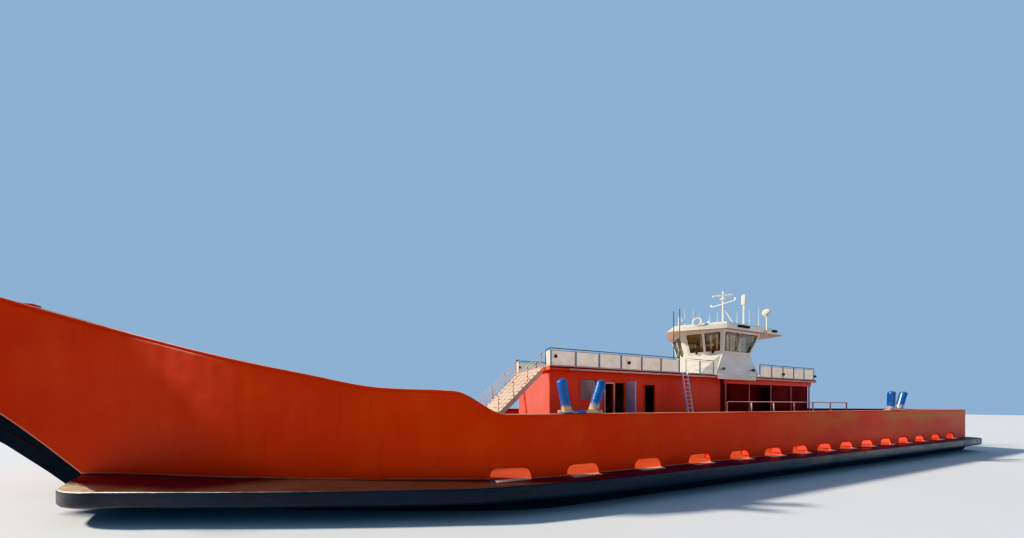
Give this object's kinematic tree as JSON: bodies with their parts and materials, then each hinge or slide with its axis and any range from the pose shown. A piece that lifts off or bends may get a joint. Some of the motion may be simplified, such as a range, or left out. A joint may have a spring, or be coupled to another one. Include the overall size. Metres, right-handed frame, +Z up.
{
  "type": "vehicle ferry with bow ramp, 1:2 scale model",
  "caption": "Flat-bottomed vehicle ferry at half size: high bow with a drop ramp, side lanes, raised trunk, deckhouse with upper deck, wheelhouse, propellers and rudders.",
  "frame": {"origin": "centre of the bounding box's bottom, on the plane of the flat bottom", "axes": "+X towards the bow, +Y to port, +Z up"},
  "size_m": [25.95, 9.73, 7.2],
  "materials": {
    "orange_paint": "semi-gloss marine enamel, weathered",
    "black_paint": "matt antifouling and scuffed black enamel",
    "dark_red_paint": "matt deck paint, worn",
    "white_paint": "semi-gloss enamel",
    "rail_paint": "pale grey-blue enamel",
    "deck_paint": "matt deck paint",
    "blue_paint": "gloss enamel, rubbed",
    "glass": "tinted float glass",
    "bronze": "cast bronze, polished"
  },
  "bodies": {
    "ship": {"bulwark_port": "orange_paint", "bulwark_starboard": "orange_paint", "bulwark_stern": "orange_paint", "house_wall_port": "orange_paint", "house_wall_starboard": "orange_paint", "house_wall_front": "orange_paint", "house_wall_aft": "orange_paint", "awning_frame_port": "orange_paint", "awning_frame_starboard": "orange_paint", "hull": "black_paint", "guard_port": "black_paint", "guard_starboard": "black_paint", "shaft_bracket_port": "black_paint", "shaft_bracket_starboard": "black_paint", "trunk": "dark_red_paint", "trunk_steps": "dark_red_paint", "aft_casing": "dark_red_paint", "upper_deck": "white_paint", "forward_stair": "white_paint", "stair_rail_port": "white_paint", "stair_rail_starboard": "white_paint", "side_ladder_port": "white_paint", "side_ladder_starboard": "white_paint", "wheelhouse_base": "white_paint", "wheelhouse_windows": "white_paint", "wheelhouse_aft_wall": "white_paint", "wheelhouse_roof": "white_paint", "mast": "white_paint", "signal_post": "white_paint", "satellite_dome": "white_paint", "upper_rail_forward_port": "rail_paint", "upper_rail_forward_starboard": "rail_paint", "upper_rail_middle_port": "rail_paint", "upper_rail_middle_starboard": "rail_paint", "upper_rail_aft_port": "rail_paint", "upper_rail_aft_starboard": "rail_paint", "trunk_rail_port": "rail_paint", "trunk_rail_starboard": "rail_paint", "wheelhouse_steps": "rail_paint", "wheelhouse_floor": "deck_paint", "bitts_forward_port": "blue_paint", "bitts_forward_starboard": "blue_paint", "bitts_aft_port": "blue_paint", "bitts_aft_starboard": "blue_paint", "wheelhouse_glass": "glass"},
    "bow_ramp": {"bow_ramp": "orange_paint"},
    "propeller_port": {"propeller_port": "bronze"},
    "propeller_starboard": {"propeller_starboard": "bronze"},
    "rudder_port": {"rudder_port": "black_paint"},
    "rudder_starboard": {"rudder_starboard": "black_paint"},
    "radar_scanner": {"radar_scanner": "white_paint"},
    "door_port": {"door_port": "white_paint"},
    "door_starboard": {"door_starboard": "white_paint"},
    "door_aft": {"door_aft": "white_paint"},
    "wheelhouse_door": {"wheelhouse_door": "white_paint"}
  },
  "joints": [
    {"name": "bow_ramp_hinge", "type": "hinge", "parent": "ship", "child": "bow_ramp", "pos_m": [11.95, 0, 2.235], "axis": [0, 1, 0], "range_deg": [0, 85]},
    {"name": "propeller_port_spin", "type": "hinge", "parent": "ship", "child": "propeller_port", "pos_m": [-10.65, 2.3, 0.33], "axis": [1, 0, 0], "continuous": true},
    {"name": "propeller_starboard_spin", "type": "hinge", "parent": "ship", "child": "propeller_starboard", "pos_m": [-10.65, -2.3, 0.33], "axis": [1, 0, 0], "continuous": true},
    {"name": "rudder_port_steer", "type": "hinge", "parent": "ship", "child": "rudder_port", "pos_m": [-11.5, 2.3, 0.7], "axis": [0, 0, 1], "range_deg": [-35, 35]},
    {"name": "rudder_starboard_steer", "type": "hinge", "parent": "ship", "child": "rudder_starboard", "pos_m": [-11.5, -2.3, 0.7], "axis": [0, 0, 1], "range_deg": [-35, 35]},
    {"name": "radar_spin", "type": "hinge", "parent": "ship", "child": "radar_scanner", "pos_m": [-7.1, 0, 6.85], "axis": [0, 0, 1], "continuous": true},
    {"name": "door_port_hinge", "type": "hinge", "parent": "ship", "child": "door_port", "pos_m": [-0.955, 1.118, 1.985], "axis": [0, 0, 1], "range_deg": [-90, 20]},
    {"name": "door_starboard_hinge", "type": "hinge", "parent": "ship", "child": "door_starboard", "pos_m": [-0.955, -1.118, 1.985], "axis": [0, 0, 1], "range_deg": [-110, 0]},
    {"name": "door_aft_hinge", "type": "hinge", "parent": "ship", "child": "door_aft", "pos_m": [-5.318, -0.235, 1.985], "axis": [0, 0, 1], "range_deg": [0, 110]},
    {"name": "wheelhouse_door_hinge", "type": "hinge", "parent": "ship", "child": "wheelhouse_door", "pos_m": [-7.268, -0.235, 4.02], "axis": [0, 0, 1], "range_deg": [0, 100]}
  ],
  "couplings": [
    {"joint": "rudder_starboard_steer", "follows": "rudder_port_steer", "ratio": 1}
  ]
}
